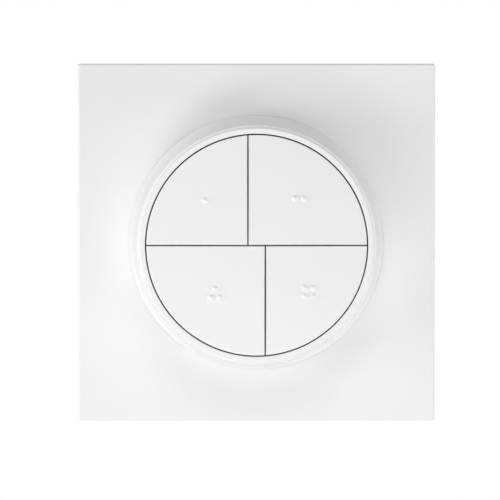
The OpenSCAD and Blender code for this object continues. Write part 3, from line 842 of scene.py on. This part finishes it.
class SWITCH_OT_bracket(bpy.types.Operator):
    """Builds the mounting bracket with its snap tongues, and its adhesive strips"""

    bl_idname = "dial_switch.bracket"
    bl_label = "Mounting bracket"

    def execute(self, context):
        s = context.scene.switch_sizes
        low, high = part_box("adhesive_pads")
        width = high.x - low.x
        height = 2 * (high.z - s.tape_place)
        places = [(0, side * s.tape_place) for side in SIDES]
        bm = bmesh.new()
        self.sheet(bm, s, [(width + 2 * s.fit_gap, height + 2 * s.fit_gap, at) for at in places])
        piece("wall_bracket", bm, "mounting_bracket")

        bm = bmesh.new()
        for at in places:
            strip = rounded_outline(bm, width, height, s.tape_round, 0, at)
            close(bm, strip)
            close(bm, step(bm, strip, rise=TAPE_FRONT))
        piece("tape_strips", bm, "adhesive_pads")
        return {"FINISHED"}

    def sheet(self, bm, s, beds):
        """Draws the sheet with its tongues, screw slots, support ring and the strips' beds."""
        half = reach("mounting_bracket")
        front = s.bracket_sheet
        shape = Matrix.Diagonal((2 * half, 2 * half, front, 1))
        bmesh.ops.create_cube(bm, size=1, matrix=Matrix.Translation((0, 0, front / 2)) @ shape)
        self.tongues(bm, s, half)
        places = [(side * s.slot_place, 0) for side in SIDES]
        slots = [
            rounded_outline(bm, s.slot_length, s.slot_width, s.slot_width / 2, front, at)
            for at in places
        ]
        support = circle(bm, s.seat_radius, front)
        fill(bm, open_flat(bm, front), support, *slots)
        inner = s.seat_radius - s.support_width
        path = [
            (s.seat_radius, front),
            (s.seat_radius, s.seat_back),
            (inner, s.seat_back),
            (inner, front),
        ]
        cap(bm, support, path)
        back = open_flat(bm, 0)
        slots = [step(bm, slot, rise=-front) for slot in slots]
        beds = [rounded_outline(bm, w, h, s.tape_round, 0, at) for w, h, at in beds]
        fill(bm, back, *slots, *beds)
        for bed in beds:
            close(bm, step(bm, bed, rise=TAPE_FRONT))

    def tongues(self, bm, s, half):
        """Draws the tongues and their hooks out of the upper and lower ends of the sheet."""
        root = half - s.tongue_wall

        def on_tongue(f):
            place = f.calc_center_median()
            beside = abs(abs(place.x) - s.tongue_place) < s.tongue_width / 2
            return beside and abs(place.y) > root and place.z > s.bracket_sheet - NEAR

        def on_hook(f, side):
            place = f.calc_center_median()
            return abs(place.y - side * half) < NEAR and place.z > s.tongue_catch

        slices(bm, None, 0, span_ends(s.tongue_place, s.tongue_width / 2))
        slices(bm, None, 1, [-root, root])
        roots = [f for f in bm.faces if on_tongue(f)]
        catches = push(bm, roots, (0, 0, s.tongue_catch - s.bracket_sheet))
        push(bm, catches, (0, 0, TONGUE_TOP - s.tongue_catch))
        for side in SIDES:
            hooks = [f for f in bm.faces if on_hook(f, side)]
            push(bm, hooks, (0, side * s.tongue_hook, 0))


class SWITCH_OT_keeper(bpy.types.Operator):
    """Builds the steel disc that the magnets hold on to"""

    bl_idname = "dial_switch.keeper"
    bl_label = "Keeper disc"

    def execute(self, context):
        soft = context.scene.switch_sizes.soft_edge
        radius = reach("keeper_disc")
        path = [
            (radius - soft, SEAT_FLOOR),
            (radius, SEAT_FLOOR + soft),
            (radius, SEAT_LEVEL - soft),
            (radius - soft, SEAT_LEVEL),
        ]
        bm = bmesh.new()
        back = circle(bm, radius - soft, SEAT_FLOOR)
        close(bm, back)
        cap(bm, back, path)
        piece("steel_keeper", bm, "keeper_disc")
        return {"FINISHED"}


class SWITCH_OT_housing(bpy.types.Operator):
    """Builds the puck's back: its housing, the rubber foot ring and the screws"""

    bl_idname = "dial_switch.housing"
    bl_label = "Housing"

    def execute(self, context):
        s = context.scene.switch_sizes
        bm = bmesh.new()
        self.shell(bm, s)
        self.door_lip(bm, s)
        piece("housing_back", bm, "puck_base")

        bm = bmesh.new()
        self.foot(bm, s)
        piece("rubber_foot", bm, "foot_ring")

        bm = bmesh.new()
        for at in around(SCREWS, s.screw_ring):
            self.screw(bm, s, at)
        piece("back_screws", bm, "housing_screws")
        return {"FINISHED"}

    def shell(self, bm, s):
        """Draws the floor with its holes and bosses, and the tube round it."""
        flange = reach("puck_base")
        groove = reach("foot_ring") + s.fit_gap
        back = SEAT_LEVEL
        soft = s.soft_edge
        hole = circle(bm, s.door_hole, back)
        track = circle(bm, s.groove_inner, back)
        screws = around(SCREWS, s.screw_ring)
        sinks = [circle(bm, s.sink_radius, back, HOLE_STEPS, at) for at in screws]
        fill(bm, hole, track, *sinks)
        path = [
            (s.groove_inner, back),
            (s.groove_inner, FOOT_FRONT),
            (groove, FOOT_FRONT),
            (groove, back),
            (flange - soft, back),
            (flange, back + soft),
            (flange, s.flange_front),
            (s.tube_radius, s.flange_front),
            (s.tube_radius, HOUSING_FRONT),
            (s.tube_bore, HOUSING_FRONT),
            (s.tube_bore, s.floor_front),
        ]
        tube = walk(bm, track, path)
        path = [
            (s.door_hole, back),
            (s.door_hole, s.lip_back),
            (s.notch_radius, s.lip_back),
            (s.notch_radius, s.floor_front),
        ]
        lip = walk(bm, hole, path)
        path = [
            (s.sink_radius, back),
            (s.sink_radius, s.sink_front),
            (s.screw_hole, s.sink_front),
            (s.screw_hole, s.boss_front),
            (s.boss_radius, s.boss_front),
            (s.boss_radius, s.floor_front),
        ]
        bosses = [walk(bm, sink, path, at) for sink, at in zip(sinks, screws)]
        magnets = around(SCREWS, s.screw_ring, EIGHTH_TURN)
        pockets = [circle(bm, s.magnet_pocket, s.floor_front, HOLE_STEPS, at) for at in magnets]
        fill(bm, tube, lip, *bosses, *pockets)
        path = [(s.magnet_pocket, s.floor_front), (s.magnet_pocket, s.magnet_back)]
        for pocket, at in zip(pockets, magnets):
            cap(bm, pocket, path, at)

    def door_lip(self, bm, s):
        """Draws in the lip that the door's lugs turn behind, with its notches and stops."""

        def on_wall(f):
            radius, level = ring_place(f)
            return abs(radius - s.notch_radius) < s.fit_gap and s.lip_back < level < s.floor_front

        def on_top(f):
            radius, level = ring_place(f)
            return s.lip_radius < radius < s.notch_radius and abs(level - s.floor_front) < NEAR

        notches = even_turns(LUGS, NOTCH_AT)
        wall = [f for f in bm.faces if on_wall(f)]
        lip = [f for f in wall if not near_turn(f, notches, NOTCH_HALF)]
        push(bm, lip, grow=s.lip_radius / s.notch_radius)
        stops = even_turns(LUGS, STOP_AT)
        tops = [f for f in bm.faces if on_top(f) and near_turn(f, stops, STOP_HALF)]
        push(bm, tops, (0, 0, LUG_TOP - s.floor_front))

    def foot(self, bm, s):
        """Spins the rubber ring, rounded at the back."""
        soft = s.soft_edge
        inside = s.groove_inner + s.fit_gap
        outside = reach("foot_ring")
        outline = [
            (inside, FOOT_BACK + soft),
            (inside + soft, FOOT_BACK),
            (outside - soft, FOOT_BACK),
            (outside, FOOT_BACK + soft),
            (outside, FOOT_FRONT),
            (inside, FOOT_FRONT),
        ]
        turn(bm, outline)
        for radius in (inside + soft, outside - soft):
            soften(bm, ring_edges(bm, radius, FOOT_BACK), soft / 2, FINE_STEPS)

    def screw(self, bm, s, at):
        """Draws a screw with its six-sided recess."""
        soft = s.soft_edge
        drive = circle(bm, s.drive_radius, SCREW_BACK, DRIVE_SIDES, at)
        head = circle(bm, s.screw_head - soft, SCREW_BACK, HOLE_STEPS, at)
        fill(bm, head, drive)
        close(bm, step(bm, drive, rise=s.drive_depth))
        path = [
            (s.screw_head - soft, SCREW_BACK),
            (s.screw_head, SCREW_BACK + soft),
            (s.screw_head, s.sink_front),
            (s.screw_shank, s.sink_front),
            (s.screw_shank, SCREW_TIP - 2 * soft),
            (s.screw_shank - 2 * soft, SCREW_TIP),
        ]
        cap(bm, head, path, at)


class SWITCH_OT_battery_door(bpy.types.Operator):
    """Builds the battery door with its coin slot, its cup and its three lugs"""

    bl_idname = "dial_switch.battery_door"
    bl_label = "Battery door"

    def execute(self, context):
        s = context.scene.switch_sizes
        radius = reach("battery_door")
        front = DOOR_BACK + s.door_sheet
        soft = s.soft_edge
        bm = bmesh.new()
        back = circle(bm, radius - soft, DOOR_BACK)
        coin = rounded_outline(bm, s.coin_length, s.coin_width, s.coin_round, DOOR_BACK)
        fill(bm, back, coin)
        close(bm, step(bm, coin, rise=s.coin_depth))
        path = [
            (radius - soft, DOOR_BACK),
            (radius, DOOR_BACK + soft),
            (radius, front),
            (s.cup_radius, front),
            (s.cup_radius, s.lug_back),
            (s.cup_radius, LUG_TOP),
            (s.cup_bore, LUG_TOP),
            (s.cup_bore, front),
        ]
        cap(bm, back, path)

        def on_cup(f):
            away, level = ring_place(f)
            return abs(away - s.cup_radius) < s.fit_gap and level > s.lug_back

        lugs = [f for f in bm.faces if on_cup(f) and near_turn(f, even_turns(LUGS), LUG_HALF)]
        push(bm, lugs, grow=s.lug_radius / s.cup_radius)
        piece("twist_door", bm, "battery_door")
        return {"FINISHED"}


class SWITCH_OT_dial(bpy.types.Operator):
    """Builds the turning dial: its flared sleeve and its front rim"""

    bl_idname = "dial_switch.dial"
    bl_label = "Dial"

    def execute(self, context):
        s = context.scene.switch_sizes
        back_radius = reach("dial_sleeve")
        ledge_radius = s.rim_radius + s.ledge_width
        sleeve_in = s.spigot_radius + s.fit_gap
        share = (SEAM_LEVEL - s.web_back) / (SEAM_LEVEL - DIAL_BACK)
        web_radius = ledge_radius + share * (back_radius - ledge_radius) - s.dial_wall
        outline = [
            (back_radius, DIAL_BACK),
            (ledge_radius, SEAM_LEVEL),
            (sleeve_in, SEAM_LEVEL),
            (sleeve_in, s.web_front),
            (s.hub_in, s.web_front),
            (s.hub_in, s.hub_back),
            (s.hub_out, s.hub_back),
            (s.hub_out, s.web_back),
            (web_radius, s.web_back),
            (back_radius - s.dial_wall, DIAL_BACK),
        ]
        bm = bmesh.new()
        turn(bm, outline)
        soften(bm, ring_edges(bm, back_radius, DIAL_BACK), s.sharp_edge, FINE_STEPS)
        soften(bm, ring_edges(bm, ledge_radius, SEAM_LEVEL), s.soft_edge)
        piece("dial_grip", bm, "dial_sleeve")

        outline = [
            (s.bore_radius, RIM_LEVEL),
            (s.rim_radius, RIM_LEVEL),
            (s.rim_radius, SEAM_LEVEL),
            (s.spigot_radius, SEAM_LEVEL),
            (s.spigot_radius, SPIGOT_BACK),
            (s.bore_radius, SPIGOT_BACK),
        ]
        bm = bmesh.new()
        turn(bm, outline)
        soften(bm, ring_edges(bm, s.rim_radius, RIM_LEVEL), s.rim_round, RIM_STEPS)
        soften(bm, ring_edges(bm, s.bore_radius, RIM_LEVEL), s.button_edge)
        piece("dial_rim", bm, "trim_ring")
        return {"FINISHED"}


class SWITCH_OT_buttons(bpy.types.Operator):
    """Builds the four push buttons with their raised dots"""

    bl_idname = "dial_switch.buttons"
    bl_label = "Buttons"

    def execute(self, context):
        s = context.scene.switch_sizes
        ceiling = RIM_LEVEL - s.button_wall
        for number in BUTTONS:
            low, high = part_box(f"switch_stem_{number}")
            stem = (low + high) / 2
            middle = (stem.x, stem.z)
            bm = bmesh.new()
            self.shell(bm, s, ceiling, number)
            self.post_and_legs(bm, s, ceiling, middle, number)
            soften(bm, [e for e in bm.edges if at_level(e, RIM_LEVEL)], s.button_edge)
            self.dots(bm, s, middle, number)
            self.crown(bm, s, ceiling)
            piece(f"push_button_{number}", bm, f"button_{number}")
        return {"FINISHED"}

    def shell(self, bm, s, ceiling, number):
        """Cuts a button out of the round face, gives it its depth and hollows its back."""
        right, up = BUTTON_SIDES[number]
        near_x = BUTTON_REACH[number] * s.button_split + s.button_gap / 2
        near_y = s.button_gap / 2
        bmesh.ops.create_circle(
            bm,
            cap_ends=True,
            segments=2 * RING_STEPS,
            radius=s.button_radius,
            matrix=Matrix.Translation((0, 0, RIM_LEVEL)),
        )
        cuts = (
            ((right * near_x, 0, 0), (right, 0, 0)),
            ((0, up * near_y, 0), (0, up, 0)),
        )
        for place, way in cuts:
            bmesh.ops.bisect_plane(
                bm,
                geom=bm.verts[:] + bm.edges[:] + bm.faces[:],
                dist=MERGE,
                plane_co=place,
                plane_no=way,
                clear_inner=True,
            )
        front = bmesh.ops.extrude_face_region(bm, geom=bm.faces[:])["geom"]
        lower = list(set(bm.verts) - set(front))
        bmesh.ops.translate(bm, vec=(0, 0, s.button_back - RIM_LEVEL), verts=lower)
        bmesh.ops.recalc_face_normals(bm, faces=bm.faces)
        back = flat_faces(bm, s.button_back)
        bmesh.ops.inset_region(bm, faces=back, thickness=s.button_skirt, use_even_offset=True)
        push(bm, back, (0, 0, ceiling - s.button_back))

    def post_and_legs(self, bm, s, ceiling, middle, number):
        """Draws the post and the snap legs out of the hollow of a button."""
        right, up = BUTTON_SIDES[number]
        rim = open_flat(bm, ceiling)
        post = circle(bm, s.post_radius, ceiling, HOLE_STEPS, middle)
        legs = []
        for leg in (s.leg_low, s.leg_high):
            way = Vector((right * math.cos(leg), up * math.sin(leg)))
            turned = math.atan2(way.y, way.x)
            at = way * s.leg_place
            legs.append((way, rectangle(bm, s.leg_wall, s.leg_width, ceiling, at, turned)))
        fill(bm, rim, post, *(loop for way, loop in legs))
        end = STEM_TOP + s.post_gap
        soft = s.soft_edge
        path = [(s.post_radius, ceiling), (s.post_radius, end + soft), (s.post_radius - soft, end)]
        cap(bm, post, path, middle)
        for way, loop in legs:
            loop = step(bm, loop, rise=s.leg_catch - ceiling)
            close(bm, step(bm, loop, rise=s.leg_back - s.leg_catch))
            outside = way * (s.leg_place + s.leg_wall / 2)
            target = Vector((outside.x, outside.y, (s.leg_back + s.leg_catch) / 2))
            hook = [f for f in bm.faces if (f.calc_center_median() - target).length < NEAR]
            push(bm, hook, (*(way * s.leg_hook), 0))

    def dots(self, bm, s, middle, number):
        """Draws the raised dots out of the front of a button."""
        rim = open_flat(bm, RIM_LEVEL)
        spots = [Vector(middle) + s.dot_pitch * Vector(place) for place in DOT_PLACES[number]]
        loops = [circle(bm, s.dot_size / 2, RIM_LEVEL, HOLE_STEPS, spot) for spot in spots]
        fill(bm, rim, *loops)
        ball = (s.dot_size**2 / 4 + s.dot_height**2) / (2 * s.dot_height)
        lean = math.asin(s.dot_size / 2 / ball)
        leans = [lean * (1 - i / DOT_STEPS) for i in range(DOT_STEPS)]
        ball_level = RIM_LEVEL + s.dot_height - ball
        path = [(ball * math.sin(a), ball_level + ball * math.cos(a)) for a in leans]
        for spot, loop in zip(spots, loops):
            cap(bm, loop, path, spot)

    def crown(self, bm, s, ceiling):
        """Raises the front wall of a button to its part of the shallow dome of all four."""
        dome = (s.button_radius**2 + s.face_crown**2) / (2 * s.face_crown)

        def front_wall(mesh):
            return flat_faces(mesh, RIM_LEVEL) + flat_faces(mesh, ceiling)

        def rise(x, y):
            return s.face_crown - dome + math.sqrt(dome * dome - x * x - y * y)

        count = int(s.button_radius / s.face_grid) + 1
        lines = [i * s.face_grid for i in range(-count, count + 1)]
        slices(bm, front_wall, 0, lines)
        slices(bm, front_wall, 1, lines)
        for v in bm.verts:
            if v.co.z > ceiling - NEAR:
                v.co.z += rise(v.co.x, v.co.y)


class SWITCH_OT_inner_parts(bpy.types.Operator):
    """Gives the pieces inside the puck their finishes"""

    bl_idname = "dial_switch.inner_parts"
    bl_label = "Inner parts"

    def execute(self, context):
        for node in INNER_PARTS:
            places = frame["nodes"][node].material_slots
            if not places:
                raise RuntimeError(f"{node} has no place for its finish")
            for place in places:
                place.material = finish(SLOT_OF[node])
        return {"FINISHED"}


WHITE = (1, 1, 1, 1)
# Which way each lamp stands from the switch, in degrees right and up
LAMP_WAYS = {
    "left": (-75, -7),
    "right": (75, -27),
    "key": (-25, -40),
    "front": (0, -20),
    "top": (0, 40),
}


def seen_directly(wire):
    """One for what is seen itself, mirrored or through glass, and nought for light."""
    rays = ("Is Camera Ray", "Is Glossy Ray", "Is Transmission Ray")
    seen, mirrored, through = [wire.node("ShaderNodeLightPath", {}, {}, ray) for ray in rays]
    return wire.math("MAXIMUM", wire.math("MAXIMUM", seen, mirrored), through)


class SWITCH_OT_stage(bpy.types.Operator):
    """Builds the floor, the light and the camera"""

    bl_idname = "dial_switch.stage"
    bl_label = "Studio"

    def execute(self, context):
        scene = context.scene
        stage = scene.switch_stage
        scene.view_settings.view_transform = "Standard"
        self.camera(scene, stage)
        self.room(scene, stage)
        self.floor(stage)
        for name, (right, up) in LAMP_WAYS.items():
            watts = getattr(stage, f"{name}_lamp")
            self.lamp(f"{name.title()} lamp", stage, watts, math.radians(right), math.radians(up))
        return {"FINISHED"}

    def camera(self, scene, stage):
        """The camera of the front view."""
        camera = bpy.data.cameras.new("Camera")
        camera.lens = stage.camera_lens
        camera.clip_start = stage.camera_clip
        holder = add("Camera", camera)
        holder.location = stage.camera_place
        holder.rotation_euler = (math.pi / 2 - stage.camera_pitch, 0, -stage.camera_yaw)
        scene.camera = holder

    def room(self, scene, stage):
        """A room that looks white and gives a weaker light from all sides."""
        world = bpy.data.worlds.new("White room")
        world.use_nodes = True
        world.node_tree.nodes.clear()
        wire = Wire(world.node_tree)
        light, plain = [
            wire.node("ShaderNodeBackground", {}, {"Color": WHITE, "Strength": strength})
            for strength in (stage.room_light, 1.0)
        ]
        mixed = wire.node("ShaderNodeMixShader", {}, {0: seen_directly(wire), 1: light, 2: plain})
        wire.node("ShaderNodeOutputWorld", {}, {"Surface": mixed})
        scene.world = world

    def floor(self, stage):
        """A pale floor that fades into the white room."""
        bm = bmesh.new()
        close(bm, circle(bm, stage.floor_radius, stage.floor_level))
        mesh = as_mesh("Floor", bm)
        wire, place = blank("Pale floor")
        flat = stretch(wire, place, (1, 1, 0))
        away = wire.node("ShaderNodeVectorMath", {"operation": "LENGTH"}, {0: flat}, "Value")
        settings = {"interpolation_type": "SMOOTHSTEP"}
        sockets = {"Value": away, "From Min": stage.fade_start, "From Max": stage.fade_end}
        fade = wire.node("ShaderNodeMapRange", settings, sockets, "Result")
        pale = wire.node("ShaderNodeBsdfDiffuse", {}, {"Color": (*stage.floor_tone, 1)})
        white = wire.node("ShaderNodeEmission", {}, {"Color": WHITE, "Strength": 1.0})
        sockets = {0: fade * seen_directly(wire), 1: pale, 2: white}
        mixed = wire.node("ShaderNodeMixShader", {}, sockets)
        wire.node("ShaderNodeOutputMaterial", {}, {"Surface": mixed})
        mesh.materials.append(bpy.data.materials["Pale floor"])
        floor = add("Floor", mesh)

    def lamp(self, name, stage, watts, right, up):
        """A square soft lamp that shines on the switch from one way."""
        light = bpy.data.lights.new(name, "AREA")
        light.energy = watts
        light.size = stage.lamp_size
        level = math.cos(up)
        way = Vector((math.sin(right) * level, -math.cos(right) * level, math.sin(up)))
        holder = add(name, light)
        holder.location = way * stage.lamp_away
        holder.rotation_euler = way.to_track_quat("Z", "Y").to_euler()
        holder.visible_camera = False


class SWITCH_PT_panel(bpy.types.Panel):
    """Lists the steps that build the switch and its studio"""

    bl_idname = "SWITCH_PT_panel"
    bl_label = "Dial wall switch"
    bl_space_type = "VIEW_3D"
    bl_region_type = "UI"
    bl_category = "Switch"

    def draw(self, context):
        for operator in OPERATORS:
            self.layout.operator(operator.bl_idname)


OPERATORS = (
    SWITCH_OT_wall_plate,
    SWITCH_OT_bracket,
    SWITCH_OT_keeper,
    SWITCH_OT_housing,
    SWITCH_OT_battery_door,
    SWITCH_OT_dial,
    SWITCH_OT_buttons,
    SWITCH_OT_inner_parts,
    SWITCH_OT_stage,
)
CLASSES = (SwitchSizes, SwitchColours, SwitchStage, *OPERATORS, SWITCH_PT_panel)


def register():
    for cls in CLASSES:
        bpy.utils.register_class(cls)
    bpy.types.Scene.switch_sizes = bpy.props.PointerProperty(type=SwitchSizes)
    bpy.types.Scene.switch_colours = bpy.props.PointerProperty(type=SwitchColours)
    bpy.types.Scene.switch_stage = bpy.props.PointerProperty(type=SwitchStage)


def unregister():
    del bpy.types.Scene.switch_stage
    del bpy.types.Scene.switch_colours
    del bpy.types.Scene.switch_sizes
    for cls in reversed(CLASSES):
        bpy.utils.unregister_class(cls)


def main():
    register()
    bpy.ops.dial_switch.wall_plate()
    bpy.ops.dial_switch.bracket()
    bpy.ops.dial_switch.keeper()
    bpy.ops.dial_switch.housing()
    bpy.ops.dial_switch.battery_door()
    bpy.ops.dial_switch.dial()
    bpy.ops.dial_switch.buttons()
    bpy.ops.dial_switch.inner_parts()
    bpy.ops.dial_switch.stage()


if __name__ == "__main__":
    main()
